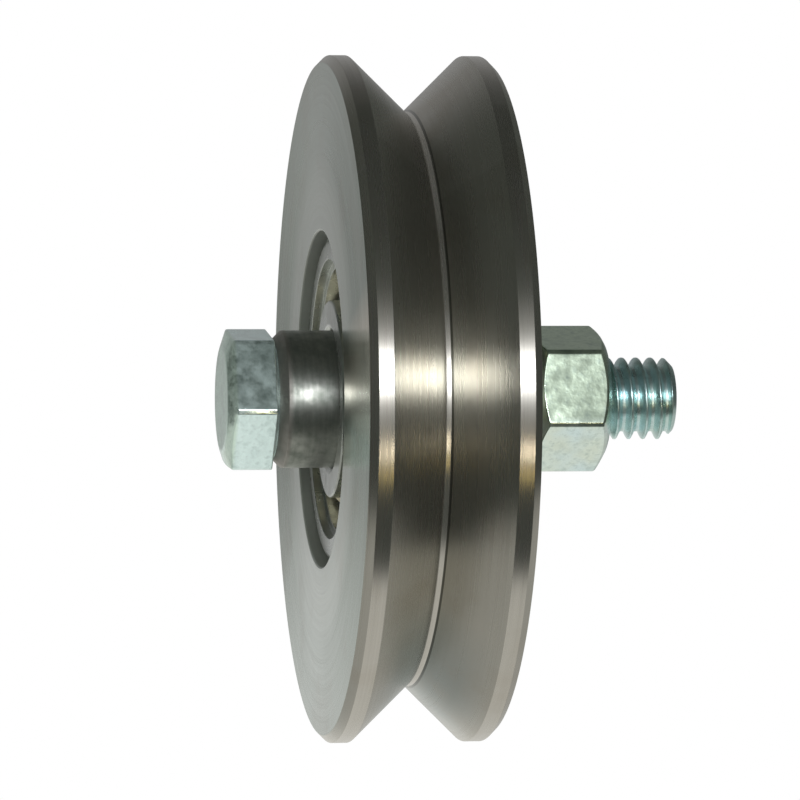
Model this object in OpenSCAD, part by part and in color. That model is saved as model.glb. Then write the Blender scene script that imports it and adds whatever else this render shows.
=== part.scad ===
// V groove wheel for a sliding gate: a turned steel wheel on one open deep groove
// ball bearing, with a spacer bush, a hexagon bolt and a hexagon nut.
// The wheel turns about the Y axis. The origin is the middle of the wheel.
// The bolt head is towards -Y and the nut towards +Y.

/* [Wheel] */
// Diameter over the rims
wheel_d = 100; // [90:1:140]
// Width from side face to side face
wheel_w = 24; // [22.5:0.5:36]
// Angle between the two flanks of the groove
groove_angle = 90; // [70:1:92]
// Depth of the groove below the rims
groove_depth = 8.1; // [5:0.1:8.6]
// Width of the flat at the bottom of the groove
groove_root_w = 1.2; // [0.6:0.1:2]
// Chamfer on the outer edge of each rim
rim_chamfer = 1.1; // [0.4:0.1:1.5]
// Small flat that breaks each edge between rim and flank
edge_break = 0.15; // [0.05:0.05:0.3]
// Small flat that breaks the edge at the mouth of the bearing seat
mouth_break = 0.2; // [0.1:0.1:0.4]
// How much wider the seat's mouth is than the seat, all round
mouth_relief = 1; // [0.6:0.1:1.2]
// How far that wider mouth reaches past the bearing's face
mouth_reach = 1; // [0.6:0.1:1.5]
// How far the bearing sits below the side face
bearing_recess = 1.3; // [1.2:0.1:4]
// Height of the shoulder that stops the bearing
seat_shoulder_h = 3; // [2:0.1:4]
// Chamfer at the mouth of the hole through the shoulder
shoulder_chamfer = 0.6; // [0.3:0.1:1]

/* [Bearing] */
// Bore of the bearing
bearing_bore = 20; // [18:0.5:21]
// Outer diameter of the bearing
bearing_d = 47; // [46:0.5:52]
// Width of the bearing
bearing_w = 14; // [12.5:0.5:16]
// Rounding of the rings' corners
ring_round = 1; // [0.5:0.1:1.2]
// Rounding of the inner ring's edges beside the cage
shoulder_round = 0.3; // [0.1:0.05:0.4]
// Diameter of the balls
ball_d = 7.938; // [7:0.001:8.2]
// Number of balls
ball_count = 8; // [6:1:8]
// Height of each ring's shoulder above the bottom of its raceway
raceway_h = 1.6; // [1.2:0.1:1.8]
// Radius of the raceway as a share of the ball's diameter
raceway_share = 0.52; // [0.515:0.005:0.54]
// Gap between a ball and the bottom of a raceway
ball_play = 0.02; // [0.01:0.01:0.04]
// Depth of the step turned in the outer ring's faces
ring_step_d = 1.3; // [0.6:0.1:1.6]
// Height of that step
ring_step_h = 1.2; // [0.6:0.1:1.3]

/* [Cage] */
// Thickness of the pressed steel strip
cage_t = 0.8; // [0.5:0.05:0.9]
// Width of the strip, along the radius
cage_w = 3.2; // [2.6:0.1:3.4]
// Gap between a ball and its pocket
pocket_gap = 0.15; // [0.1:0.01:0.25]
// Diameter of a rivet
rivet_d = 1.4; // [1:0.1:1.6]
// Diameter of a rivet's head
rivet_head_d = 2.2; // [1.8:0.1:2.4]
// Height of a rivet's head
rivet_head_h = 0.6; // [0.4:0.05:0.8]

/* [Bush, bolt and nut] */
// Length of the spacer bush
bush_len = 38; // [32:0.5:44]
// Chamfer on the bush's outer ends
bush_chamfer = 1.2; // [0.4:0.1:1.5]
// Gap all round between the bolt and the bush
bolt_gap = 0.25; // [0.1:0.05:0.5]
// Diameter of the bolt
bolt_d = 12; // [10:0.5:13]
// Length of the bolt under its head
bolt_len = 59; // [57:0.5:75]
// Chamfer at the end of the bolt
bolt_chamfer = 1.1; // [0.6:0.1:1.5]
// Width across flats of the head and of the nut
hex_af = 19; // [18:0.5:22]
// Height of the bolt head, with its washer face
head_h = 7.5; // [6:0.1:9]
// Height of the washer face under the head
washer_face_h = 0.5; // [0.2:0.1:0.8]
// How far the washer face lies inside the flats
washer_face_inset = 0.8; // [0.4:0.1:1.2]
// Height of the nut
nut_h = 10.8; // [8:0.1:12]
// How far each corner of a hexagon is rounded off
hex_blunt = 0.2; // [0:0.05:0.4]
// Diameter of the head's flat end face, as a share of its width across flats
head_face_share = 0.8; // [0.76:0.01:0.95]
// Angle between the head's chamfer and its end face
head_chamfer_angle = 19; // [15:1:35]
// Diameter of the nut's flat end faces, as a share of its width across flats
nut_face_share = 0.86; // [0.83:0.01:0.95]
// Angle between the nut's chamfers and its end faces
nut_chamfer_angle = 30; // [15:1:35]
// Turn of the bolt head's first corner above the horizontal
head_turn = 47.5; // [0:0.5:60]
// Turn of the nut's first corner above the horizontal
nut_turn = 36.5; // [0:0.5:60]
// Depth of the thread, from crest to root
thread_depth = 1.1; // [0.8:0.05:1.3]
// Gap all round between the nut's bore and the bolt
nut_gap = 0.02; // [0.01:0.01:0.05]
// How far the countersink at each end of the nut passes the bolt
nut_countersink = 0.3; // [0.1:0.1:0.8]

/* [Hidden] */
$fn = 96;

past = 1;  // how far a cutting shape passes the face that it cuts

// wheel
rim_r = wheel_d / 2;
half_w = wheel_w / 2;
groove_slope = tan(groove_angle / 2);
root_r = rim_r - groove_depth;
mouth_half_w = groove_root_w / 2 + groove_depth * groove_slope;
seat_r = bearing_d / 2;
seat_end = -half_w + bearing_recess + bearing_w;
mouth_end = -half_w + bearing_recess + mouth_reach;
shoulder_r = seat_r - seat_shoulder_h;

// bearing
bearing_mid = seat_end - bearing_w / 2;
pitch_r = (bearing_bore + bearing_d) / 4;
ball_r = ball_d / 2;
raceway_r = ball_d * raceway_share;
inner_bottom_r = pitch_r - ball_r - ball_play;
outer_bottom_r = pitch_r + ball_r + ball_play;
inner_shoulder_r = inner_bottom_r + raceway_h;
outer_shoulder_r = outer_bottom_r - raceway_h;
ball_step = 360 / ball_count;

// cage
pocket_r = ball_r + pocket_gap;
cage_in_r = pitch_r - cage_w / 2;
cage_out_r = pitch_r + cage_w / 2;

// bush, bolt and nut
bush_r = bearing_bore / 2;
bush_bore_r = bolt_d / 2 + bolt_gap;
bush_end = bush_len / 2;
bolt_r = bolt_d / 2;
flat_r = hex_af / 2;
corner_r = flat_r / cos(30) - hex_blunt;
head_face_r = head_face_share * flat_r;
head_chamfer_h = (corner_r - head_face_r) * tan(head_chamfer_angle);
nut_face_r = nut_face_share * flat_r;
nut_chamfer_h = (corner_r - nut_face_r) * tan(nut_chamfer_angle);
pitch_line_r = bolt_r - thread_depth / 2;
nut_bore_r = pitch_line_r + nut_gap;
countersink_r = bolt_r + nut_countersink;
countersink_h = countersink_r - nut_bore_r;

// Lays a shape that is modelled along Z on the wheel's axis, with +Z towards +Y
module on_axis() {
    rotate([-90, 0, 0]) children();
}

// Places a shape at the middle of the bearing, on the wheel's axis
module in_bearing() {
    on_axis() translate([0, 0, bearing_mid]) children();
}

// Repeats a shape round the pitch circle, starting at the given turn
module round_pitch(start = 0) {
    for (k = [0 : ball_count - 1])
        rotate(start + k * ball_step) translate([pitch_r, 0, 0]) children();
}

// What is cut from a section's corner at [r, z] to round it. With turn 0 the corner points to +r and +z
module corner_cut(r, z, turn, radius) {
    translate([r, z]) rotate(turn) translate([-radius, -radius]) difference() {
        square(2 * radius);
        circle(radius);
    }
}

// Half section of the wheel. The groove is a V with a narrow flat at its root
module wheel_section() {
    polygon([
        [seat_r + mouth_relief + mouth_break, -half_w],
        [seat_r + mouth_relief, -half_w + mouth_break],
        [seat_r + mouth_relief, mouth_end],
        [seat_r, mouth_end],
        [seat_r, seat_end],
        [shoulder_r, seat_end],
        [shoulder_r, half_w - shoulder_chamfer],
        [shoulder_r + shoulder_chamfer, half_w],
        [rim_r - rim_chamfer, half_w],
        [rim_r, half_w - rim_chamfer],
        [rim_r, mouth_half_w + edge_break],
        [rim_r - edge_break, mouth_half_w - edge_break * groove_slope],
        [root_r, groove_root_w / 2],
        [root_r, -groove_root_w / 2],
        [rim_r - edge_break, -mouth_half_w + edge_break * groove_slope],
        [rim_r, -mouth_half_w - edge_break],
        [rim_r, -half_w + rim_chamfer],
        [rim_r - rim_chamfer, -half_w]
    ]);
}

module wheel() {
    color("#8c8c86") on_axis() rotate_extrude() wheel_section();
}

// Outer ring: rounded outer corners, a stepped face and an arc raceway
module outer_ring() {
    color("#a9aaa6") in_bearing() rotate_extrude() difference() {
        translate([outer_shoulder_r, -bearing_w / 2])
            square([seat_r - outer_shoulder_r, bearing_w]);
        corner_cut(seat_r, bearing_w / 2, 0, ring_round);
        corner_cut(seat_r, -bearing_w / 2, -90, ring_round);
        for (side = [-1, 1])
            translate([outer_shoulder_r - past, side * bearing_w / 2 - ring_step_d])
                square([past + ring_step_h, 2 * ring_step_d]);
        translate([outer_bottom_r - raceway_r, 0]) circle(raceway_r);
    }
}

// Inner ring: rounded bore corners and an arc raceway
module inner_ring() {
    color("#a9aaa6") in_bearing() rotate_extrude() difference() {
        translate([bush_r, -bearing_w / 2])
            square([inner_shoulder_r - bush_r, bearing_w]);
        corner_cut(bush_r, bearing_w / 2, 90, ring_round);
        corner_cut(bush_r, -bearing_w / 2, 180, ring_round);
        corner_cut(inner_shoulder_r, bearing_w / 2, 0, shoulder_round);
        corner_cut(inner_shoulder_r, -bearing_w / 2, -90, shoulder_round);
        translate([inner_bottom_r + raceway_r, 0]) circle(raceway_r);
    }
}

// The ball in the given place, counted round the pitch circle
module ball(place) {
    color("#d5d8d8") in_bearing()
        rotate((place - 1) * ball_step) translate([pitch_r, 0, 0]) sphere(ball_r);
}

// One half of the riveted cage: a flat strip with a round pocket over each ball, on the +Z side
module cage_half() {
    deep = pocket_r + cage_t + past;
    difference() {
        intersection() {
            union() {
                cylinder(r = cage_out_r, h = cage_t);
                round_pitch() sphere(pocket_r + cage_t);
            }
            cylinder(r = cage_out_r, h = deep);
        }
        translate([0, 0, -past]) cylinder(r = cage_in_r, h = deep + 2 * past);
        round_pitch() sphere(pocket_r);
        round_pitch(ball_step / 2)
            translate([0, 0, -past]) cylinder(d = rivet_d, h = cage_t + 2 * past);
    }
}

module cage_front() {
    color("#b3a77e") in_bearing() mirror([0, 0, 1]) cage_half();
}

module cage_back() {
    color("#b3a77e") in_bearing() cage_half();
}

// A domed head, flat on the strip: the top of a sphere, cut at the strip's face
module rivet_head() {
    head_r = rivet_head_d / 2;
    dome_r = (head_r * head_r + rivet_head_h * rivet_head_h) / (2 * rivet_head_h);
    translate([0, 0, cage_t]) intersection() {
        translate([0, 0, rivet_head_h - dome_r]) sphere(dome_r);
        cylinder(r = rivet_head_d, h = rivet_head_h + past);
    }
}

module cage_rivets() {
    color("#9a9384") in_bearing() round_pitch(ball_step / 2) {
        translate([0, 0, -cage_t]) cylinder(d = rivet_d, h = 2 * cage_t);
        rivet_head();
        mirror([0, 0, 1]) rivet_head();
    }
}

// Bush: clamped between the bolt head and the nut, it carries the inner ring
module spacer_bush() {
    color("#5b5c58") on_axis() difference() {
        rotate_extrude() polygon([
            [0, -bush_end],
            [bush_r - bush_chamfer, -bush_end],
            [bush_r, -bush_end + bush_chamfer],
            [bush_r, bush_end - bush_chamfer],
            [bush_r - bush_chamfer, bush_end],
            [0, bush_end]
        ]);
        translate([0, 0, -bush_end - past])
            cylinder(r = bush_bore_r, h = bush_len + 2 * past);
    }
}

// A hexagonal prism on Z from z = 0, with its first corner turned up by the given angle
module hexagon(height, turn) {
    rotate(-turn) cylinder(r = flat_r / cos(30), h = height, $fn = 6);
}

// The bolt, from its end face at z = -head_h, with the underside of its head at z = 0.
// The thread is plain at its crests. In the nut, where the two threads are in mesh,
// both pieces meet at the thread's pitch line.
module hex_bolt() {
    hex_h = head_h - washer_face_h;
    nut_end = bush_len + nut_h;
    color("#c3cfca") on_axis() translate([0, 0, -bush_end]) {
        translate([0, 0, -head_h]) intersection() {
            hexagon(hex_h, head_turn);
            rotate_extrude() polygon([
                [0, 0],
                [head_face_r, 0],
                [corner_r, head_chamfer_h],
                [corner_r, hex_h],
                [0, hex_h]
            ]);
        }
        rotate_extrude() polygon([
            [0, -head_h / 2],
            [flat_r - washer_face_inset, -head_h / 2],
            [flat_r - washer_face_inset, 0],
            [bolt_r, 0],
            [bolt_r, bush_len],
            [pitch_line_r, bush_len],
            [pitch_line_r, nut_end],
            [bolt_r, nut_end],
            [bolt_r, bolt_len - bolt_chamfer],
            [bolt_r - bolt_chamfer, bolt_len],
            [0, bolt_len]
        ]);
    }
}

module hex_nut() {
    color("#c3cfca") on_axis() translate([0, 0, bush_end]) difference() {
        intersection() {
            hexagon(nut_h, nut_turn);
            rotate_extrude() polygon([
                [0, 0],
                [nut_face_r, 0],
                [corner_r, nut_chamfer_h],
                [corner_r, nut_h - nut_chamfer_h],
                [nut_face_r, nut_h],
                [0, nut_h]
            ]);
        }
        rotate_extrude() polygon([
            [0, -past],
            [countersink_r + past, -past],
            [nut_bore_r, countersink_h],
            [nut_bore_r, nut_h - countersink_h],
            [countersink_r + past, nut_h + past],
            [0, nut_h + past]
        ]);
    }
}

wheel();
outer_ring();
inner_ring();
for (place = [1 : ball_count])
    ball(place);
cage_front();
cage_back();
cage_rivets();
spacer_bush();
hex_bolt();
hex_nut();
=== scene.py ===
# %% [markdown]
# # V groove wheel
#
# A turned steel wheel for a sliding gate, on one open ball bearing. A hexagon bolt is its
# axle, with a spacer bush through the bearing and a nut on the far end. Everything on it was
# turned, ground, pressed or plated, so this scene is a lesson in metal: clean lathe shapes with
# slightly broken edges, and finishes that show which way the tool went.
#
# The script loads the engineering model first. Nothing in it is moved: a new piece takes its
# place and size from the part that it stands for.

import math

import bpy
import numpy as np
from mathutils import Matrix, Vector


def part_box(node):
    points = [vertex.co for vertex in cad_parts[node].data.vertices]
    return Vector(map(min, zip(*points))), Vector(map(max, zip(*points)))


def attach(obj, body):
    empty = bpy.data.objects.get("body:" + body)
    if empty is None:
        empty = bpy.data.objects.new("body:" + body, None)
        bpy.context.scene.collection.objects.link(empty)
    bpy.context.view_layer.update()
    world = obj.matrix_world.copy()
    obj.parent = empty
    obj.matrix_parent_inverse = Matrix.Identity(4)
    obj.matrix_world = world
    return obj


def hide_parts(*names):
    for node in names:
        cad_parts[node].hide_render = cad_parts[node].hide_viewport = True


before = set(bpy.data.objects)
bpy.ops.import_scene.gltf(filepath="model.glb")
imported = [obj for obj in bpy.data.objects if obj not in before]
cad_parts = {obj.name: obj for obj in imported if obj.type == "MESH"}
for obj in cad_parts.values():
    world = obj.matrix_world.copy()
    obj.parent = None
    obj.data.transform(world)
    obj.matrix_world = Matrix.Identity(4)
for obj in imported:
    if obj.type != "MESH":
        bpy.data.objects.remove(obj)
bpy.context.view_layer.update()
MM = 0.001
print("nodes:", ", ".join(sorted(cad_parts)))

# %% [markdown]
# ## Two helpers for node trees
#
# Colours are written as the hex values that a paint program shows. Those are sRGB, and
# Blender works in linear light, so one function turns them over. The other adds a node,
# sets it up and wires it in a single call, which keeps a material readable as a list of
# what happens to the surface.

# %% Colour and node helpers
def linear(hex_colour):
    """A hex colour such as "#8c8c86" as the linear RGBA that sockets take."""
    values = [int(hex_colour[i:i + 2], 16) / 255 for i in (1, 3, 5)]
    return [v / 12.92 if v <= 0.04045 else ((v + 0.055) / 1.055) ** 2.4 for v in values] + [1]


def add_node(tree, kind, inputs=None, **settings):
    """Adds a node. An input is a value, or the output socket of the node that feeds it."""
    node = tree.nodes.new(kind)
    for name, value in settings.items():
        setattr(node, name, value)
    for name, value in (inputs or {}).items():
        if isinstance(value, bpy.types.NodeSocket):
            tree.links.new(value, node.inputs[name])
        else:
            node.inputs[name].default_value = value
    return node


# %% [markdown]
# ## The camera
#
# The wheel is seen nearly edge on, so that the V groove, the bolt and the nut all show their
# outline. A long lens from eight tenths of a metre keeps the two rims almost parallel. Turn
# and height are written as angles, because that is how you would walk round the real thing.

# %% Camera
CAMERA_TURN = 8.97       # degrees that the camera stands off the wheel's own plane
CAMERA_HEIGHT = -2.55    # degrees above the wheel's centre
CAMERA_ROLL = -0.54      # degrees
CAMERA_DISTANCE = 0.799  # metres
FRAME_WIDTH = 0.11675    # metres that the frame spans at the wheel's centre
SENSOR = 36              # millimetres


def direction(azimuth, elevation):
    """Unit vector: azimuth 0 points to -Y and 90 to +X, elevation is above the horizon."""
    a, e = math.radians(azimuth), math.radians(elevation)
    return Vector((math.sin(a) * math.cos(e), -math.cos(a) * math.cos(e), math.sin(e)))


camera_azimuth = 90 - CAMERA_TURN
towards_camera = direction(camera_azimuth, CAMERA_HEIGHT)
camera = bpy.data.objects.new("camera", bpy.data.cameras.new("camera"))
bpy.context.scene.collection.objects.link(camera)
camera.location = towards_camera * CAMERA_DISTANCE
camera.rotation_euler = (-towards_camera).to_track_quat("-Z", "Y").to_euler()
camera.rotation_euler.rotate_axis("Z", math.radians(CAMERA_ROLL))
camera.data.sensor_width = SENSOR
camera.data.lens = SENSOR * CAMERA_DISTANCE / FRAME_WIDTH
camera.data.shift_x = -0.0015
camera.data.shift_y = -0.0014
camera.data.clip_start = 0.05
bpy.context.scene.camera = camera
bpy.context.scene.view_settings.view_transform = "Standard"
print(f"lens {camera.data.lens:.1f} mm")

# %% [markdown]
# ## The room
#
# Polished metal has almost no colour of its own. What you see in it is the room, so the room
# is designed first. It is a plain studio corner: a white sweep behind and below the wheel, a
# dark room behind the camera, and one small soft lamp just above the lens. The V groove acts
# like a corner reflector and sends that lamp straight back.
#
# Cards and walls could be built as meshes, but here the world paints the room by direction,
# which is quicker to adjust. Height above the horizon picks a brightness from a ramp, with one
# ramp for the side behind the camera and one for the side behind the wheel. A ray that points
# down meets a round white table. Camera rays see plain white, so the background stays clean.

# %% World
WALL = [  # degrees above the horizon, then the brightness behind the wheel and behind the camera
    (-90, 1.0, 0.058),
    (-1, 0.74, 0.058),
    (0.9, 0.55, 0.058),
    (1.5, 0.36, 0.058),
    (5, 0.34, 0.058),
    (32, 0.25, 0.08),
    (53, 0.13, 0.055),
    (73, 0.07, 0.047),
    (90, 0.05, 0.047),
]
DIM_TINT = (0.94, 1.05, 0.93)    # the dark side of the room is a little green
TABLE_TINT = (1.01, 1.0, 0.95)   # and the table a little warm
TABLE_CENTRE = 6.5        # how far the round table's middle lies behind the wheel
TABLE_RADIUS = 7.0        # both in table heights
TABLE_EDGE = 0.12         # half the width of the table's soft edge
TABLE_LIGHT = 0.82, 0.50  # brightness in the middle and out to the sides
TABLE_SIDE = 0.45         # sideways part of a ray that looks at the table's side
SWEEP_SHIFT = 0.06        # how far the bright sweep stands off centre
SWEEP_DEPTH = -0.15, -0.85  # backward part of a ray where the sweep begins and where it is full
SWEEP_SIDE = 0.55, 0.25   # sideways part, likewise
SWEEP_REST = 0.05         # what is left of the sweep beyond its sides
KEY_DIRECTION = (88, 5.8)  # azimuth and elevation of the key lamp
GLOW_SPREAD = 30          # degrees round the key lamp in which the wall glows
GLOW_STRENGTH = 0.48
PLAIN_LIGHT = 0.85        # even light for whatever isn't shiny


def grey(level, tint=(1, 1, 1)):
    return (level * tint[0], level * tint[1], level * tint[2], 1)


def wall_ramp(tree, height, column):
    """Brightness by height above the horizon, from one column of WALL."""
    ramp = add_node(tree, "ShaderNodeValToRGB", {"Fac": height})
    stops = ramp.color_ramp.elements
    while len(stops) > 1:
        stops.remove(stops[-1])
    for k, row in enumerate(WALL):
        place = (row[0] + 90) / 180
        stop = stops[0] if k == 0 else stops.new(place)
        stop.position, stop.color = place, grey(row[column], DIM_TINT if column == 2 else (1, 1, 1))
    return ramp.outputs["Color"]


def table_mask(tree, axes):
    """1 where a ray from the wheel meets the round white table below it, 0 elsewhere."""
    down = add_node(tree, "ShaderNodeMath", {0: axes["Z"], 1: -1.0}, operation="MULTIPLY")
    drop = add_node(tree, "ShaderNodeMath", {0: down.outputs[0], 1: 0.001}, operation="MAXIMUM")
    x = add_node(tree, "ShaderNodeMath", {0: axes["X"], 1: drop.outputs[0]}, operation="DIVIDE")
    x = add_node(tree, "ShaderNodeMath", {0: x.outputs[0], 1: TABLE_CENTRE}, operation="ADD")
    y = add_node(tree, "ShaderNodeMath", {0: axes["Y"], 1: drop.outputs[0]}, operation="DIVIDE")
    point = add_node(tree, "ShaderNodeCombineXYZ", {"X": x.outputs[0], "Y": y.outputs[0]})
    reach = add_node(tree, "ShaderNodeVectorMath", {0: point.outputs[0]}, operation="LENGTH")
    return add_node(tree, "ShaderNodeMapRange", {
        "Value": reach.outputs["Value"], "From Min": TABLE_RADIUS + TABLE_EDGE,
        "From Max": TABLE_RADIUS - TABLE_EDGE}, interpolation_type="SMOOTHSTEP").outputs[0]


def wall_and_sweep(tree, axes):
    """The dark wall all round, with the bright sweep let into it behind the wheel."""
    angle = add_node(tree, "ShaderNodeMath", {0: axes["Z"]}, operation="ARCSINE")
    height = add_node(tree, "ShaderNodeMapRange", {
        "Value": angle.outputs[0], "From Min": -math.pi / 2, "From Max": math.pi / 2}).outputs[0]
    behind = add_node(tree, "ShaderNodeMapRange", {
        "Value": axes["X"], "From Min": SWEEP_DEPTH[0], "From Max": SWEEP_DEPTH[1]},
        interpolation_type="SMOOTHSTEP").outputs[0]
    off_centre = add_node(tree, "ShaderNodeMath", {0: axes["Y"], 1: SWEEP_SHIFT}, operation="ADD")
    off_centre = add_node(tree, "ShaderNodeMath", {0: off_centre.outputs[0]}, operation="ABSOLUTE")
    width = add_node(tree, "ShaderNodeMapRange", {
        "Value": off_centre.outputs[0], "From Min": SWEEP_SIDE[0], "From Max": SWEEP_SIDE[1],
        "To Min": SWEEP_REST})
    sweep = add_node(tree, "ShaderNodeMath", {0: behind, 1: width.outputs[0]}, operation="MULTIPLY")
    return add_node(tree, "ShaderNodeMix", {
        "Factor": sweep.outputs[0], 6: wall_ramp(tree, height, 2), 7: wall_ramp(tree, height, 1)},
        data_type="RGBA").outputs[2]


def studio_world():
    world = bpy.data.worlds.new("studio")
    world.use_nodes = True
    tree = world.node_tree
    tree.nodes.clear()
    place = add_node(tree, "ShaderNodeTexCoord").outputs["Generated"]
    axes = add_node(tree, "ShaderNodeSeparateXYZ", {0: place}).outputs
    sideways = add_node(tree, "ShaderNodeMath", {0: axes["Y"]}, operation="ABSOLUTE").outputs[0]
    table_light = add_node(tree, "ShaderNodeMapRange", {
        "Value": sideways, "From Min": 0.0, "From Max": TABLE_SIDE, "To Min": TABLE_LIGHT[0],
        "To Max": TABLE_LIGHT[1]}, interpolation_type="SMOOTHSTEP").outputs[0]
    table = add_node(tree, "ShaderNodeMix", {
        "Factor": 1.0, 6: table_light, 7: grey(1, TABLE_TINT)},
        data_type="RGBA", blend_type="MULTIPLY").outputs[2]
    room = add_node(tree, "ShaderNodeMix", {
        "Factor": table_mask(tree, axes), 6: wall_and_sweep(tree, axes), 7: table},
        data_type="RGBA").outputs[2]
    towards_key = add_node(tree, "ShaderNodeVectorMath", {
        0: place, 1: direction(*KEY_DIRECTION)}, operation="DOT_PRODUCT").outputs["Value"]
    glow = add_node(tree, "ShaderNodeMapRange", {
        "Value": towards_key, "From Min": math.cos(math.radians(GLOW_SPREAD)), "From Max": 1.0,
        "To Max": GLOW_STRENGTH}, interpolation_type="SMOOTHSTEP").outputs[0]
    room = add_node(tree, "ShaderNodeMix", {"Factor": glow, 6: room, 7: grey(1)},
                    data_type="RGBA", blend_type="ADD").outputs[2]
    rays = add_node(tree, "ShaderNodeLightPath").outputs
    shiny = add_node(tree, "ShaderNodeMath", {
        0: rays["Is Glossy Ray"], 1: rays["Is Transmission Ray"]}, operation="MAXIMUM")
    plain = add_node(tree, "ShaderNodeMix", {
        "Factor": shiny.outputs[0], 6: grey(PLAIN_LIGHT), 7: room}, data_type="RGBA").outputs[2]
    seen = add_node(tree, "ShaderNodeMix", {
        "Factor": rays["Is Camera Ray"], 6: plain, 7: grey(1)}, data_type="RGBA").outputs[2]
    light = add_node(tree, "ShaderNodeBackground", {"Color": seen})
    add_node(tree, "ShaderNodeOutputWorld", {"Surface": light.outputs[0]})
    return world


bpy.context.scene.world = studio_world()
print("world:", bpy.context.scene.world.name, "with", len(WALL), "heights")

# %% [markdown]
# ## The lamps
#
# Three round area lamps do what the painted room can't, which is to be small, near and strong.
# The key stands over the lens. The two others are warm cards below it. Without them the light
# that runs down the two rims would stop just below the middle of the wheel.

# %% Lamps
LAMPS = [  # name, azimuth, elevation, distance, width, watts, colour
    ("key", *KEY_DIRECTION, 1.0, 0.21, 3.5, "#fafbff"),
    ("warm_card", 101, -19, 0.9, 0.09, 0.23, "#fff0d6"),
    ("straw_card", 101, -26, 0.9, 0.09, 0.055, "#ffe080"),
]


def add_lamp(name, azimuth, elevation, distance, width, watts, colour):
    lamp = bpy.data.objects.new(name, bpy.data.lights.new(name, "AREA"))
    bpy.context.scene.collection.objects.link(lamp)
    lamp.data.shape = "DISK"
    lamp.data.size = width
    lamp.data.energy = watts
    lamp.data.color = linear(colour)[:3]
    lamp.location = direction(azimuth, elevation) * distance
    lamp.rotation_euler = (-lamp.location).to_track_quat("-Z", "Y").to_euler()
    return lamp


for lamp_settings in LAMPS:
    add_lamp(*lamp_settings)
print("lamps:", ", ".join(row[0] for row in LAMPS))

# %% [markdown]
# ## Turned pieces
#
# The wheel, both bearing rings and the bush came off a lathe: a tool followed an outline
# while the piece spun. The same can be done here. Each piece is half of its section, drawn as
# a closed outline of a few corners, and a Geometry Nodes tree does the turning. It rounds
# every corner a little, because no real edge is perfectly sharp and that thin bright line is
# what makes metal look solid, and then sweeps the outline round a circle.
#
# A spin in mesh code would give the same form. The tree is nicer to adjust, because the edge
# rounding and the number of facets stay as inputs.

# %% The turning tree
def turning_tree():
    """Section outline in, turned piece out. X in the section is the radius, Y is along the axle."""
    tree = bpy.data.node_groups.new("turned_piece", "GeometryNodeTree")
    for name, kind in (("Section", "NodeSocketGeometry"), ("Facets Round", "NodeSocketInt"),
                       ("Steps In A Corner", "NodeSocketInt"), ("Path Radius", "NodeSocketFloat"),
                       ("Finish", "NodeSocketMaterial")):
        tree.interface.new_socket(name, in_out="INPUT", socket_type=kind)
    tree.interface.new_socket("Piece", in_out="OUTPUT", socket_type="NodeSocketGeometry")
    given = add_node(tree, "NodeGroupInput").outputs
    outline = add_node(tree, "GeometryNodeMeshToCurve", {"Mesh": given["Section"]})
    rounding = add_node(tree, "GeometryNodeInputNamedAttribute", {"Name": "rounding"},
                        data_type="FLOAT")
    rounded = add_node(tree, "GeometryNodeFilletCurve", {
        "Curve": outline.outputs[0], "Count": given["Steps In A Corner"],
        "Radius": rounding.outputs[0], "Limit Radius": True}, mode="POLY")
    drop = add_node(tree, "ShaderNodeMath", {0: 0.0, 1: given["Path Radius"]},
                    operation="SUBTRACT")
    inward = add_node(tree, "ShaderNodeCombineXYZ", {"X": drop.outputs[0]})
    tool_path = add_node(tree, "GeometryNodeTransform", {
        "Geometry": rounded.outputs[0], "Translation": inward.outputs[0]})
    circle = add_node(tree, "GeometryNodeCurvePrimitiveCircle", {
        "Resolution": given["Facets Round"], "Radius": given["Path Radius"]})
    turned = add_node(tree, "GeometryNodeCurveToMesh", {
        "Curve": circle.outputs[0], "Profile Curve": tool_path.outputs[0]})
    upright = add_node(tree, "GeometryNodeTransform", {
        "Geometry": turned.outputs[0], "Rotation": (math.pi / 2, 0, 0)})
    smooth = add_node(tree, "GeometryNodeSetShadeSmooth", {"Geometry": upright.outputs[0]})
    real = add_node(tree, "GeometryNodeRealizeInstances", {"Geometry": smooth.outputs[0]})
    finished = add_node(tree, "GeometryNodeSetMaterial", {
        "Geometry": real.outputs[0], "Material": given["Finish"]})
    add_node(tree, "NodeGroupOutput", {"Piece": finished.outputs[0]})
    return tree


TURNING = turning_tree()
print("turning tree:", len(TURNING.nodes), "nodes")


# %% Turning one piece
def set_input(modifier, name, value):
    """Sets a Geometry Nodes input by its socket's identifier."""
    sockets = modifier.node_group.interface.items_tree
    modifier[next(s.identifier for s in sockets if s.name == name)] = value


def finish_piece(name, blank, body, node):
    """Keeps what a blank's modifiers made, as a piece that rides on a body in a node's place."""
    flat = blank.modifiers.new("flats stay flat", "WEIGHTED_NORMAL")
    flat.keep_sharp = False
    evaluated = blank.evaluated_get(bpy.context.evaluated_depsgraph_get())
    mesh = bpy.data.meshes.new_from_object(evaluated)
    bpy.data.objects.remove(blank)
    piece = bpy.data.objects.new(name, mesh)
    bpy.context.scene.collection.objects.link(piece)
    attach(piece, body)
    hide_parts(node)
    print(f"{name}: {len(mesh.polygons)} faces")


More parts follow.
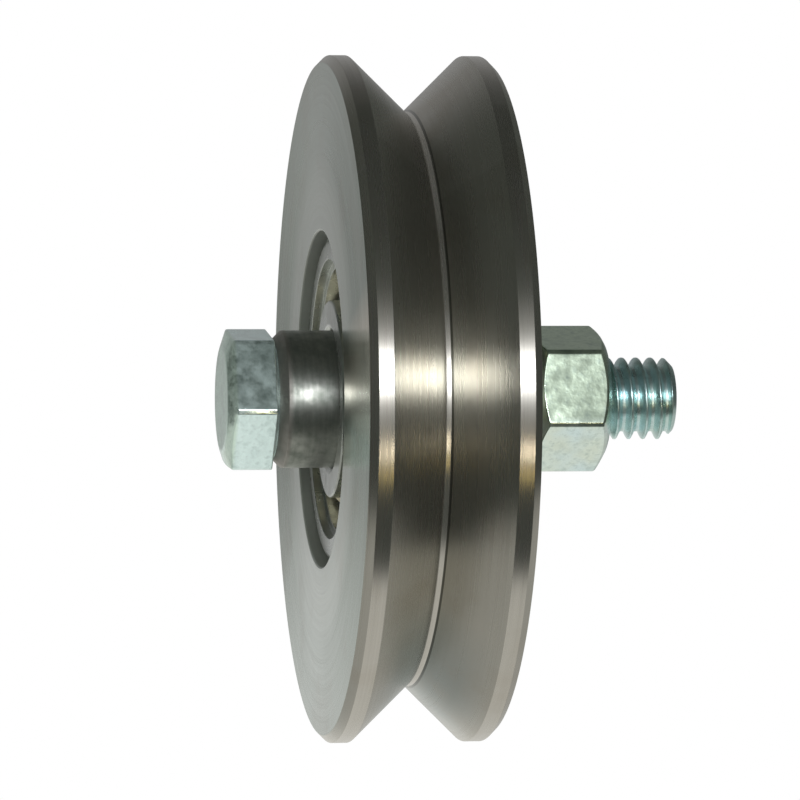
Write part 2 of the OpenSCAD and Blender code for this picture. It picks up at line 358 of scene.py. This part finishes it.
def turn(name, corners, finish, body, facets=256, steps=3):
    """Turns corners of (radius, along the axle, rounding), in metres, and replaces a node."""
    outline = bpy.data.meshes.new(name + "_section")
    count = len(corners)
    outline.from_pydata([(r, y, 0) for r, y, _ in corners],
                        [(k, (k + 1) % count) for k in range(count)], [])
    rounding = outline.attributes.new("rounding", "FLOAT", "POINT")
    rounding.data.foreach_set("value", [corner[2] for corner in corners])
    blank = bpy.data.objects.new(name + "_blank", outline)
    bpy.context.scene.collection.objects.link(blank)
    lathe = blank.modifiers.new("turning", "NODES")
    lathe.node_group = TURNING
    set_input(lathe, "Facets Round", facets)
    set_input(lathe, "Steps In A Corner", steps)
    set_input(lathe, "Path Radius", 10 * MM)  # any value will do: the tree shifts by as much
    set_input(lathe, "Finish", finish)
    finish_piece(name, blank, body, name.replace("turned_", ""))


# %% [markdown]
# ## Finishes
#
# All these metals share one recipe: a base colour that tints what they mirror, a roughness
# that blurs it, and marks left by the way the surface was made. What sets them apart is the
# marks. A turned surface is smooth along the cut and rough across it, so its highlights are
# drawn out at right angles to the tool's path. That is what the anisotropic input does, with
# a tangent that runs round the axle.
#
# The marks themselves are noise, read by radius and by place along the axle. The turn comes in
# as a point on a circle, so the pattern closes on itself and has no seam.

# %% Patterns for turned and plated metal
def turned_space(tree):
    """Radius and place along the axle in metres, then the turn as a point on a unit circle."""
    place = add_node(tree, "ShaderNodeTexCoord").outputs["Object"]
    axes = add_node(tree, "ShaderNodeSeparateXYZ", {0: place}).outputs
    flat = add_node(tree, "ShaderNodeCombineXYZ", {"X": axes["X"], "Z": axes["Z"]}).outputs[0]
    radius = add_node(tree, "ShaderNodeVectorMath", {0: flat}, operation="LENGTH").outputs["Value"]
    unit = add_node(tree, "ShaderNodeVectorMath", {0: flat}, operation="NORMALIZE").outputs[0]
    turn_axes = add_node(tree, "ShaderNodeSeparateXYZ", {0: unit}).outputs
    return radius, axes["Y"], turn_axes["X"], turn_axes["Z"]


def round_noise(tree, space, size, change, detail=2.0):
    """Noise in rings. size is the width of a ring in metres, change how fast a ring varies."""
    radius, along, cosine, sine = space
    scaled = {}
    for axis, value, factor in (("X", radius, 1 / size), ("Y", along, 1 / size),
                                ("Z", cosine, change), ("W", sine, change)):
        scaled[axis] = add_node(tree, "ShaderNodeMath", {0: value, 1: factor},
                                operation="MULTIPLY").outputs[0]
    fourth = scaled.pop("W")
    place = add_node(tree, "ShaderNodeCombineXYZ", scaled).outputs[0]
    return add_node(tree, "ShaderNodeTexNoise", {
        "Vector": place, "W": fourth, "Scale": 1.0, "Detail": detail},
        noise_dimensions="4D").outputs["Fac"]


def cloud_noise(tree, size, detail=2.0, shift=0.0):
    """Even noise in object space. size is the width of a patch in metres."""
    place = add_node(tree, "ShaderNodeTexCoord").outputs["Object"]
    return add_node(tree, "ShaderNodeTexNoise", {
        "Vector": place, "W": shift, "Scale": 1 / size, "Detail": detail},
        noise_dimensions="4D").outputs["Fac"]


# %% Masks and layers
MIDDLE = (0.3, 0.7)  # the part of its 0 to 1 range in which noise does most of its changing


def mask(tree, *ranges):
    """1 where every value is past its range's second end, 0 where any is before its first."""
    share = None
    for value, first, last in ranges:
        step = add_node(tree, "ShaderNodeMapRange", {
            "Value": value, "From Min": first, "From Max": last}).outputs[0]
        share = step if share is None else add_node(
            tree, "ShaderNodeMath", {0: share, 1: step}, operation="MULTIPLY").outputs[0]
    return share


def paint(tree, base, layers):
    """Colours laid over a base. A layer is a mask, how much of it shows and its colour."""
    colour = linear(base)
    for where, strength, shade in layers:
        share = add_node(tree, "ShaderNodeMath", {0: where, 1: strength}, operation="MULTIPLY")
        colour = add_node(tree, "ShaderNodeMix", {
            "Factor": share.outputs[0], 6: colour, 7: linear(shade)}, data_type="RGBA").outputs[2]
    return colour


def adjust(tree, value, changes):
    """A value that each mask raises or lowers by its own amount."""
    for where, amount in changes:
        value = add_node(tree, "ShaderNodeMath", {0: where, 1: amount, 2: value},
                         operation="MULTIPLY_ADD").outputs[0]
    return value


# %% The metal shader
def new_metal(name):
    material = bpy.data.materials.new(name)
    material.use_nodes = True
    material.node_tree.nodes.clear()
    return material, material.node_tree


ACROSS = 0.25  # a quarter of a turn, which draws highlights out across the tangent


def metal_output(tree, colour, roughness, relief, anisotropic=0.0, metallic=1.0):
    """The shader. relief lists patterns with the depth of each, from the lowest layer up."""
    inputs = {"Base Color": colour, "Metallic": metallic, "Roughness": roughness,
              "Anisotropic": anisotropic, "Anisotropic Rotation": ACROSS}
    for height, depth in relief:
        bump = {"Height": height, "Distance": depth, "Strength": 1.0}
        if "Normal" in inputs:
            bump["Normal"] = inputs["Normal"]
        inputs["Normal"] = add_node(tree, "ShaderNodeBump", bump).outputs[0]
    if anisotropic:  # the tangent runs round the axle, so that turning marks do too
        tangent = add_node(tree, "ShaderNodeTangent", direction_type="RADIAL", axis="Y")
        inputs["Tangent"] = tangent.outputs[0]
    shader = add_node(tree, "ShaderNodeBsdfPrincipled", inputs)
    add_node(tree, "ShaderNodeOutputMaterial", {"Surface": shader.outputs[0]})


# %% [markdown]
# ## Turned mild steel
#
# The wheel is a slice of round bar, faced and grooved in a lathe and left bare. The tool
# leaves rings, and use leaves a milky film at the root of the groove and old grease in the
# bearing's seat. The groove's outer sides are painted greyer towards the bottom. The rest is
# painted light and shade: the seat is darkened past its grease as painted shade of the recess,
# a fine score at the root is a painted dark line of shade, a lower quarter of each side face
# is painted paler as if more light fell there, and a bright strip beside the axle is a painted
# reflection of the bush's highlight.
#
# Each of these is a mask, which says where, and a colour or a change of roughness. The masks
# are made from three things that a turned piece always has: radius, place along the axle and
# turn. A painted image would do the same, but it would need unwrapping and look coarse close up.

# %% Turned mild steel
ROOT_R = 42 * MM  # just past the flat at the groove's root
# The seat's darkening is partly grease and partly painted shade of the recess
SEAT_EDGE = 24.9 * MM, 24.6 * MM  # where the grease in the seat ends


def make_turned_steel():
    """Bare mild steel from the lathe: drawn-out highlights, fine rings, a few dull bands."""
    material, tree = new_metal("turned_mild_steel")
    space = turned_space(tree)
    radius, along, cosine, sine = space
    # A real tool leaves rings about 0.15 mm apart. They are drawn at 0.4 mm to stay visible.
    rings = round_noise(tree, space, 0.4 * MM, 1.5, 3.0)
    bands = round_noise(tree, space, 5 * MM, 0.6)
    stains = cloud_noise(tree, 9 * MM, 3.0)
    normal = add_node(tree, "ShaderNodeNewGeometry").outputs["Normal"]
    facing = add_node(tree, "ShaderNodeSeparateXYZ", {0: normal}).outputs["Y"]
    facing = add_node(tree, "ShaderNodeMath", {0: facing}, operation="ABSOLUTE").outputs[0]
    from_middle = add_node(tree, "ShaderNodeMath", {0: along}, operation="ABSOLUTE").outputs[0]
    off_strip = add_node(tree, "ShaderNodeMath", {0: sine, 1: 0.06}, operation="SUBTRACT")
    off_strip = add_node(tree, "ShaderNodeMath", {0: off_strip.outputs[0]},
                         operation="ABSOLUTE").outputs[0]

    flank, side_face = (facing, 0.3, 0.5), (facing, 0.75, 0.95)
    ring_marks = mask(tree, (rings, *MIDDLE))
    # Greyer towards the bottom on the groove's outer sides
    greyer_low_on_flanks = mask(tree, (sine, -0.72, -0.97), (radius, 50 * MM, 46 * MM), flank)
    # Painted light: a lower quarter of each side face is made paler, as if more light fell there
    painted_light_quarter = mask(tree, (cosine, 0.1, -0.6), (sine, -0.1, -0.6), side_face)
    near_hub = mask(tree, (radius, 36 * MM, 30 * MM))
    # Painted reflection: a bright warm strip beside the axle stands in for the bush's highlight
    # mirrored in the face, which is also made smoother there
    painted_reflection_strip = mask(tree, (cosine, 0.0, 0.5), (off_strip, 0.24, 0.06), side_face)
    in_root = (radius, ROOT_R + 0.1 * MM, ROOT_R), (from_middle, 2 * MM, 1 * MM)
    # Painted shade: a dark line at the root stands in for the shade inside a fine tool score
    painted_score_shade = mask(tree, (along, 0.45 * MM, 0.5 * MM), (along, 0.8 * MM, 0.75 * MM),
                  (radius, ROOT_R + 0.6 * MM, ROOT_R + 0.5 * MM))
    # Grease in the bearing's seat, darkened further as painted shade of the recess
    grease_and_painted_shade = mask(tree, (radius, *SEAT_EDGE))

    # The rims look warm, the groove's sides duller and the side faces cool
    colour = paint(tree, "#c1beb6", [
        (mask(tree, flank), 1.0, "#b9b7ae"),
        (greyer_low_on_flanks, 1.0, "#8e9794"),
        (mask(tree, side_face), 1.0, "#b4beb3"),
        (painted_light_quarter, 1.0, "#eaf3e9"),
        (near_hub, 0.55, "#d0d7cb"),
        (ring_marks, 0.16, "#8d8a80"),
        (mask(tree, (stains, 0.5, 0.8)), 0.35, "#9b8f7c"),
        (painted_reflection_strip, 1.0, "#f2e6d2"),
        (painted_score_shade, 0.75, "#3c3f38"),
        (grease_and_painted_shade, 0.8, "#4c534a"),
    ])
    rough = adjust(tree, 0.215, [(mask(tree, (bands, *MIDDLE)), 0.05), (ring_marks, 0.04),
                                 (near_hub, -0.08), (painted_reflection_strip, -0.08), (grease_and_painted_shade, 0.2)])
    # Grease and dried films aren't metal, so they take some of the mirror away
    metallic = adjust(tree, 1.0, [(grease_and_painted_shade, -0.8), (mask(tree, *in_root), -0.04),
                                  (mask(tree, *in_root, (sine, 0.5, 0.9)), -0.12)])
    metal_output(tree, colour, rough, [(rings, 0.010 * MM)], 0.74, metallic)
    return material


turned_steel = make_turned_steel()
print("finish:", turned_steel.name)

# %% [markdown]
# ## Ground bearing steel
#
# Bearing rings are hardened and then ground, so their marks are too fine to see. A thin film
# of oil does more to their look: it dulls them in soft patches a few millimetres wide.

# %% Ground bearing steel
def make_bearing_steel():
    """Hardened rings, ground bright, with patches of oil that dull them."""
    material, tree = new_metal("ground_bearing_steel")
    rings = round_noise(tree, turned_space(tree), 0.3 * MM, 1.0)
    oily = mask(tree, (cloud_noise(tree, 3 * MM, 2.0), *MIDDLE))
    colour = paint(tree, "#c3c8c2", [(oily, 0.5, "#8f9088")])
    metal_output(tree, colour, adjust(tree, 0.24, [(oily, 0.10)]), [(rings, 0.006 * MM)], 0.5)
    return material


bearing_steel = make_bearing_steel()
print("finish:", bearing_steel.name)

# %% [markdown]
# ## Balls, cage and rivets
#
# The balls are polished, the cage is pressed from steel strip and the rivets are upset cold.
# They differ in only a few numbers, so one function makes all three. The cage is mostly
# seen through grease, and grease isn't a metal: it is given a low metallic value, which turns
# a hard mirror into a soft straw colour.

# %% Balls, cage and rivets
def make_plain_metal(name, colour, patch_colour, patch, low, high, depth, metallic=1.0):
    """Metal with soft patches: colour and roughness drift together, over a faint unevenness."""
    material, tree = new_metal(name)
    patches = cloud_noise(tree, patch, 3.0)
    patchy = mask(tree, (patches, *MIDDLE))
    shade = paint(tree, colour, [(patchy, 1.0, patch_colour)])
    rough = adjust(tree, low, [(patchy, high - low)])
    metal_output(tree, shade, rough, [(patches, depth)], metallic=metallic)
    return material


# Polished balls mirror everything round them
ball_steel = make_plain_metal("polished_ball_steel", "#d6d8d8", "#c2c4c2", 2 * MM, 0.06, 0.10, 0)
# Pressed strip under a film of grease has a straw tint and a soft shine
cage_steel = make_plain_metal("greased_pressed_strip", "#fbf4d8", "#d5caa2", 2.5 * MM,
                              0.34, 0.50, 0.01 * MM, metallic=0.15)
# Rivets are the same strip's colour, duller on their domes
rivet_steel = make_plain_metal("upset_rivet_steel", "#a59d86", "#7e765f", 1.5 * MM,
                               0.38, 0.50, 0.01 * MM)
print("finishes:", ball_steel.name, cage_steel.name, rivet_steel.name)

# %% [markdown]
# ## Drawn steel tube
#
# The bush is a length of drawn tube. Its skin is dark from the mill and mottled by handling,
# and only the two ends have been cut, so they are lighter and rougher. The mask for them
# needs nothing but the distance from the middle of the axle.

# %% Drawn steel tube
def make_bush_steel():
    """Drawn tube, cut to length: dark mill finish, mottled by handling, pale rough ends."""
    material, tree = new_metal("drawn_steel_tube")
    space = turned_space(tree)
    mottle = cloud_noise(tree, 1.6 * MM, 4.0)
    rings = round_noise(tree, space, 0.5 * MM, 2.0, 3.0)
    from_middle = add_node(tree, "ShaderNodeMath", {0: space[1]}, operation="ABSOLUTE").outputs[0]
    cut_end = mask(tree, (from_middle, 17.0 * MM, 17.6 * MM))
    mottled = mask(tree, (mottle, *MIDDLE))
    colour = paint(tree, "#b2b4ae", [(mottled, 1.0, "#888e86"),
                                     (mask(tree, (rings, *MIDDLE)), 0.35, "#5c615b"),
                                     (cut_end, 0.5, "#a8a29c")])
    rough = adjust(tree, 0.33, [(mottled, 0.14), (cut_end, 0.15)])
    metal_output(tree, colour, rough, [(mottle, 0.03 * MM), (rings, 0.008 * MM)], 0.25)
    return material


bush_steel = make_bush_steel()
print("finish:", bush_steel.name)

# %% [markdown]
# ## Zinc plate
#
# The bolt and the nut are forged, then plated with bright zinc and dipped in a clear
# passivate. The dip leaves a thin film with a blue or green cast that drifts from place to
# place, and the steel below it is never quite even. One material serves both pieces, because
# they come out of the same bath. Masks along the axle give the head, the nut and the thread
# their own cast. On the nut the yellow-green cast stops above its lowest facets: that split
# is a painted tint for the warmer light that the upper facets mirror.

# %% Zinc plate
HEAD_SIDES = -18 * MM, -19 * MM   # places along the axle between which each cast comes in
HEAD_END = -25 * MM, -25.5 * MM
NUT = 18 * MM, 19 * MM
THREAD = 28.8 * MM, 30 * MM


def make_zinc_plate():
    """Bright zinc with a clear passivate: blue-green in some patches and yellow-green in
    others, over forged steel whose unevenness shows through."""
    material, tree = new_metal("bright_zinc_plate")
    patches = cloud_noise(tree, 5.0 * MM, 2.0)
    speckle = cloud_noise(tree, 0.8 * MM, 3.0, 4.0)
    crystals = cloud_noise(tree, 2.2 * MM, 3.0, 9.0)
    place = add_node(tree, "ShaderNodeTexCoord").outputs["Object"]
    axes = add_node(tree, "ShaderNodeSeparateXYZ", {0: place}).outputs
    on_head = (axes["Y"], *HEAD_SIDES)
    threaded = mask(tree, (axes["Y"], *THREAD))
    # Painted reflection tint: the nut is yellow-greener above its lowest facets, for the warmer
    # light its upper facets mirror
    nut_painted_upper_tint = mask(tree, (axes["Y"], *NUT), (axes["Y"], *THREAD[::-1]),
                   (axes["Z"], -5 * MM, -3 * MM))
    colour = paint(tree, "#e4f7f7", [
        (mask(tree, (patches, 0.35, 0.65)), 1.0, "#e9f5e8"),
        (mask(tree, on_head), 1.0, "#e6faf8"),
        (mask(tree, (axes["Y"], *HEAD_END)), 1.0, "#d7ecdf"),
        (nut_painted_upper_tint, 1.0, "#dff1da"),
        (threaded, 0.5, "#b8dde2"),
        (mask(tree, (speckle, 0.5, 0.75)), 0.45, "#a9bdb8"),
        (mask(tree, (crystals, 0.5, 0.35)), 0.15, "#93aaa8"),
    ])
    rough = adjust(tree, 0.15, [(mask(tree, (crystals, 0.35, 0.65)), 0.12), (threaded, 0.1)])
    # The film on the head is milky in patches, which lifts the side that sees the dark room
    metallic = adjust(tree, 1.0, [(mask(tree, on_head), -0.04),
                                  (mask(tree, on_head, (crystals, 0.4, 0.6)), -0.08),
                                  (mask(tree, on_head, (speckle, 0.4, 0.6)), -0.09)])
    metal_output(tree, colour, rough, [(crystals, 0.03 * MM), (speckle, 0.02 * MM)],
                 metallic=metallic)
    return material


zinc_plate = make_zinc_plate()
print("finish:", zinc_plate.name)

# %% [markdown]
# ## The wheel
#
# Its section goes round from the mouth of the bearing seat: along the head-side face, over
# the first rim, down into the V and up again, over the second rim, along the other face and
# back through the shoulder and the seat. Each corner has the small rounding that its real
# edge would have. The root of the V is a narrow flat, because no tool cuts a perfect point.

# %% Wheel
EDGE = 0.15 * MM   # a broken edge
CRISP = 0.1 * MM   # a corner that was only deburred
wheel_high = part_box("wheel")[1]
rim_r, half_w = wheel_high.x, wheel_high.y
groove_depth, mouth = 8.1 * MM, 8.7 * MM    # mouth is half the groove's width at the rims
root_low, root_high = -0.25 * MM, 0.5 * MM  # ends of the flat at the root
root_round, rim_chamfer = 0.2 * MM, 1.1 * MM
ring_low, ring_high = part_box("outer_ring")
seat_r, seat_end = ring_high.x, ring_high.y  # the outer ring fills the seat
shoulder_r, shoulder_chamfer = seat_r - 3 * MM, 0.6 * MM
mouth_r, mouth_end, mouth_chamfer = seat_r + 1.0 * MM, ring_low.y + 1.0 * MM, 0.2 * MM
turn("turned_wheel", [
    (mouth_r + mouth_chamfer, -half_w, EDGE),
    (rim_r - rim_chamfer, -half_w, EDGE),
    (rim_r, -half_w + rim_chamfer, EDGE),
    (rim_r, -mouth, EDGE),
    (rim_r - groove_depth, root_low, root_round),
    (rim_r - groove_depth, root_high, root_round),
    (rim_r, mouth, EDGE),
    (rim_r, half_w - rim_chamfer, EDGE),
    (rim_r - rim_chamfer, half_w, EDGE),
    (shoulder_r + shoulder_chamfer, half_w, EDGE),
    (shoulder_r, half_w - shoulder_chamfer, EDGE),
    (shoulder_r, seat_end, EDGE),
    (seat_r, seat_end, 0.05 * MM),
    (seat_r, mouth_end, CRISP),
    (mouth_r, mouth_end, CRISP),
    (mouth_r, -half_w + mouth_chamfer, EDGE),
], turned_steel, "wheel")

# %% [markdown]
# ## Bearing rings and bush
#
# The same tree turns the rings. Each raceway is an arc, so its corners come from a circle a
# little larger than the ball. The bush is a plain tube with chamfered ends.

# %% Raceways
ball_low, ball_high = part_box("ball_1")
ball_r = (ball_high.x - ball_low.x) / 2
pitch_r, bearing_mid = (ball_high.x + ball_low.x) / 2, (ball_high.y + ball_low.y) / 2
bore_r = 10 * MM
race_r = 1.04 * ball_r            # the raceway's arc is a little wider than the ball
race_h = 1.6 * MM                 # depth of the raceway
race_bottom = ball_r + 0.02 * MM  # and its distance from the circle that the balls run on


def raceway(side, steps=16):
    """An arc raceway from its low-Y edge to its high-Y edge. Side 1 is the outer ring's."""
    centre = pitch_r + side * (race_bottom - race_r)
    half_turn = math.acos((race_r - race_h) / race_r)
    return [(centre + side * race_r * math.cos(a), bearing_mid + race_r * math.sin(a), 0)
            for a in np.linspace(-half_turn, half_turn, steps)]


print(f"balls {ball_r * 2 / MM:.3f} mm across on a circle of {pitch_r * 2 / MM:.1f} mm")

# %% Bearing rings
RING_ROUND = 1.0 * MM
step_depth, step_height = 1.3 * MM, 1.2 * MM  # the step beside the cage in the outer ring
lip_r = pitch_r + race_bottom - race_h
step_r = lip_r + step_height
turn("turned_outer_ring", [
    (seat_r, ring_low.y, RING_ROUND),
    (seat_r, ring_high.y, RING_ROUND),
    (step_r, ring_high.y, CRISP),
    (step_r, ring_high.y - step_depth, CRISP),
    (lip_r, ring_high.y - step_depth, CRISP),
    *raceway(1)[::-1],
    (lip_r, ring_low.y + step_depth, CRISP),
    (step_r, ring_low.y + step_depth, CRISP),
    (step_r, ring_low.y, CRISP),
], bearing_steel, "wheel", steps=5)
shoulder = pitch_r - race_bottom + race_h
turn("turned_inner_ring", [
    (bore_r, ring_low.y, RING_ROUND),
    (shoulder, ring_low.y, 0.3 * MM),
    *raceway(-1),
    (shoulder, ring_high.y, 0.3 * MM),
    (bore_r, ring_high.y, RING_ROUND),
], bearing_steel, "axle", facets=192, steps=5)

# %% Bush
bush_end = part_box("spacer_bush")[1].y
bush_bore, bush_chamfer = 6.25 * MM, 1.2 * MM
turn("turned_spacer_bush", [
    (bush_bore, -bush_end, CRISP),
    (bore_r - bush_chamfer, -bush_end, 0.2 * MM),
    (bore_r, -bush_end + bush_chamfer, 0.3 * MM),
    (bore_r, bush_end - bush_chamfer, 0.3 * MM),
    (bore_r - bush_chamfer, bush_end, 0.2 * MM),
    (bush_bore, bush_end, CRISP),
], bush_steel, "axle", facets=128)

# %% [markdown]
# ## Hexagons and the thread
#
# A bolt head and a nut have the same sides, cut off at their ends by a cone. That cut leaves
# the curved scallops that make a hexagon look right. The trick here is one grid: columns go
# round the axis and rows go along it. Each row's radius may change from column to column, so
# one row can follow the hexagon while the next is a plain circle.
#
# The thread is the same idea taken further. The height of its surface depends on how far a
# point lies along the axis and on its turn, and that makes a helix. A thread made this way
# has no seam and runs out neatly into the chamfer at the bolt's end.

# %% Columns round a hexagon
FLAT_R = 9.5 * MM  # half the width across flats
CORNER_R = FLAT_R / math.cos(math.radians(30)) - 0.2 * MM
BLUNT = 0.8 * MM   # radius of the arc that rounds a corner


def hexagon_columns(first_corner, per_side=44):
    """Turns for the columns, closer together at the corners, and the radius at each."""
    off = math.pi / 6 * np.sin(np.linspace(-math.pi / 2, math.pi / 2, per_side, endpoint=False))
    turns = np.concatenate([off + (side + 0.5) * math.pi / 3 for side in range(6)])
    from_corner = math.pi / 6 - np.abs(np.tile(off, 6))
    arc_centre = (FLAT_R - BLUNT) / math.cos(math.pi / 6)
    arc_ends = math.pi / 6 - math.atan((FLAT_R - BLUNT) * math.tan(math.pi / 6) / FLAT_R)
    inside = np.maximum(BLUNT ** 2 - (arc_centre * np.sin(from_corner)) ** 2, 0)
    on_arc = arc_centre * np.cos(from_corner) + np.sqrt(inside)
    on_flat = FLAT_R / np.cos(math.pi / 6 - from_corner)
    radius = np.where(from_corner < arc_ends, on_arc, on_flat)
    return turns + math.radians(first_corner), np.minimum(radius, CORNER_R)


def end_cut(radius, face_share, angle):
    """How deep the cone that cuts a hexagon's end has gone at each radius."""
    return np.maximum(radius - face_share * FLAT_R, 0) * math.tan(math.radians(angle))


# %% Rows with softened corners
def soften(corners, closed, steps=3):
    """Rows of (radius, along) with each corner bent round over its own reach."""
    places = [np.stack(np.broadcast_arrays(r, y, corners[1][0] * 0)[:2]) for r, y, _ in corners]
    rows = []
    for k, (here, corner) in enumerate(zip(places, corners)):
        if corner[2] == 0 or (not closed and k in (0, len(corners) - 1)):
            rows.append(here)
            continue
        back, on = places[k - 1] - here, places[(k + 1) % len(places)] - here
        back_length, on_length = np.linalg.norm(back, axis=0), np.linalg.norm(on, axis=0)
        reach = np.minimum(corner[2], 0.45 * np.minimum(back_length, on_length))
        for t in np.linspace(0, 1, steps + 1):
            rows.append(here + (1 - t) ** 2 * reach * back / back_length
                        + t ** 2 * reach * on / on_length)
    return rows


# %% A blank from a grid
def grid_blank(name, turns, rows, closed, finish):
    """A blank from rows of (radius, along) over the columns' turns, with its ends closed."""
    columns = len(turns)
    vertices, firsts = [], []
    for radius, along in rows:
        firsts.append(len(vertices))
        if np.max(radius) < 1e-9:
            vertices.append((0, float(along[0]), 0))
        else:
            vertices += zip(radius * np.cos(turns), along, -radius * np.sin(turns))
    faces = []
    for k in range(len(rows) if closed else len(rows) - 1):
        low, high = firsts[k], firsts[(k + 1) % len(rows)]
        for c in range(columns):
            n = (c + 1) % columns
            if k == 0 and not closed:
                faces.append((low, high + n, high + c))
            elif k == len(rows) - 2 and not closed:
                faces.append((low + c, low + n, high))
            else:
                faces.append((low + c, low + n, high + n, high + c))
    mesh = bpy.data.meshes.new(name)
    mesh.from_pydata(vertices, [], faces)
    mesh.polygons.foreach_set("use_smooth", [True] * len(faces))
    mesh.materials.append(finish)
    mesh.update()
    blank = bpy.data.objects.new(name + "_blank", mesh)
    bpy.context.scene.collection.objects.link(blank)
    return blank


# %% Hexagon bolt
head_low, bolt_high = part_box("hex_bolt")
head_end, bolt_end, under_head = head_low.y, bolt_high.y, -bush_end
nut_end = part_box("hex_nut")[1].y
bolt_r, neck_r = 6 * MM, 5.45 * MM
countersink_r = bolt_r + 0.3 * MM
thread_start = nut_end - (countersink_r - neck_r)
PITCH = 2.14 * MM        # coarser than the standard 1.75 mm
CREST = 33.2 * MM        # where a crest passes the front of the bolt
THREAD_DEPTH = 1.15 * MM
CREST_SHARE, FLANK_SHARE = 0.10, 0.68  # shares of half a pitch
BOLT_CHAMFER = 1.1 * MM


def thread_rows(turns, per_pitch=26):
    """Right-hand thread from inside the nut to the chamfered end of the bolt."""
    count = round((bolt_end - thread_start) / PITCH * per_pitch)
    rows = []
    for y in np.linspace(thread_start, bolt_end, count):
        phase = (y - CREST) / PITCH - turns / (2 * math.pi)
        from_crest = np.abs(phase - np.round(phase)) * 2
        slope = np.clip((from_crest - CREST_SHARE) / FLANK_SHARE, 0, 1)
        sunk = 0.5 * slope + 0.5 * slope * slope * (3 - 2 * slope)
        radius = bolt_r - THREAD_DEPTH * sunk
        limit = min(neck_r + y - thread_start, bolt_r - max(0, y - bolt_end + BOLT_CHAMFER))
        rows.append(np.stack([np.minimum(radius, limit), np.full_like(turns, y)]))
    return rows


# %% Bolt head, shank and thread in one grid
HEAD_FACE, HEAD_ANGLE = 0.8, 19  # flat end as a share of the width across flats, chamfer degrees
HEAD_TURN = -47.5                # degrees to the head's first corner
turns, side = hexagon_columns(HEAD_TURN)
washer_r, hex_under = FLAT_R - 0.8 * MM, under_head - 0.5 * MM
head = [
    (side * 0, head_end, 0),
    (side * 0 + HEAD_FACE * FLAT_R, head_end, 0.5 * MM),
    (side, head_end + end_cut(side, HEAD_FACE, HEAD_ANGLE), 0.3 * MM),
    (side, hex_under, 0.2 * MM),
    (side * 0 + washer_r, hex_under, 0),
    (side * 0 + washer_r, under_head, 0.08 * MM),
    (side * 0 + bolt_r, under_head, 0),
    (side * 0 + bolt_r, bush_end, 0.05 * MM),
    (side * 0 + neck_r, bush_end, 0),
]
bolt_rows = soften(head, False) + thread_rows(turns)
bolt_rows.append(np.stack([side * 0, side * 0 + bolt_end]))
bolt_blank = grid_blank("threaded_hex_bolt", turns, bolt_rows, False, zinc_plate)
finish_piece("threaded_hex_bolt", bolt_blank, "axle", "hex_bolt")

# %% Hexagon nut
NUT_FACE, NUT_BACK, NUT_ANGLE = 0.86, 0.92, 30  # its free face, the face on the bush, degrees
NUT_TURN = -36.5
turns, side = hexagon_columns(NUT_TURN)
nut_bore = neck_r + 0.02 * MM
sink = countersink_r - nut_bore
nut = [
    (side * 0 + countersink_r, bush_end, 0.05 * MM),
    (side * 0 + NUT_BACK * FLAT_R, bush_end, 0.2 * MM),
    (side, bush_end + end_cut(side, NUT_BACK, NUT_ANGLE), 0.2 * MM),
    (side, nut_end - end_cut(side, NUT_FACE, NUT_ANGLE), 0.3 * MM),
    (side * 0 + NUT_FACE * FLAT_R, nut_end, 0.4 * MM),
    (side * 0 + countersink_r, nut_end, 0.05 * MM),
    (side * 0 + nut_bore, nut_end - sink, 0.1 * MM),
    (side * 0 + nut_bore, bush_end + sink, 0.1 * MM),
]
nut_blank = grid_blank("plated_hex_nut", turns, soften(nut, True), True, zinc_plate)
finish_piece("plated_hex_nut", nut_blank, "axle", "hex_nut")

# %% [markdown]
# ## Pieces kept from the engineering model
#
# The balls, the cage and its rivets already have their true shape there: spheres, a pressed
# strip with round pockets, and domed heads. Making them again would add nothing, so they keep
# their meshes and only get their finishes.

# %% Finishes for the engineering model's own pieces
FINISHES = {"cage_front": cage_steel, "cage_back": cage_steel, "cage_rivets": rivet_steel}
FINISHES.update({f"ball_{place}": ball_steel for place in range(1, 9)})
for node, finish in FINISHES.items():
    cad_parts[node].data.materials.clear()
    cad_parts[node].data.materials.append(finish)
print("finished as they are:", ", ".join(FINISHES))

# %% [markdown]
# ## Floor
#
# A pale disk below the wheel grounds it when it is seen from above. It is scenery and no part
# of the wheel. The metal mirrors the room that the world paints, so the disk is kept out of
# reflections.

# %% Floor
FLOOR_RADIUS, FLOOR_HEIGHT = 1.2, -0.11  # metres
floor_mesh = bpy.data.meshes.new("floor")
rim = [(FLOOR_RADIUS * math.cos(a), FLOOR_RADIUS * math.sin(a), FLOOR_HEIGHT)
       for a in np.linspace(0, 2 * math.pi, 96, endpoint=False)]
floor_mesh.from_pydata(rim, [], [range(96)])
floor = bpy.data.objects.new("floor", floor_mesh)
bpy.context.scene.collection.objects.link(floor)
floor.visible_glossy = False  # the room's own table is what the metal mirrors
floor.visible_shadow = False  # and the two cards below it shine through
floor_paint = bpy.data.materials.new("pale_floor")  # a plain pale surface mirrors nothing sharp
floor_paint.use_nodes = True
floor.data.materials.append(floor_paint)
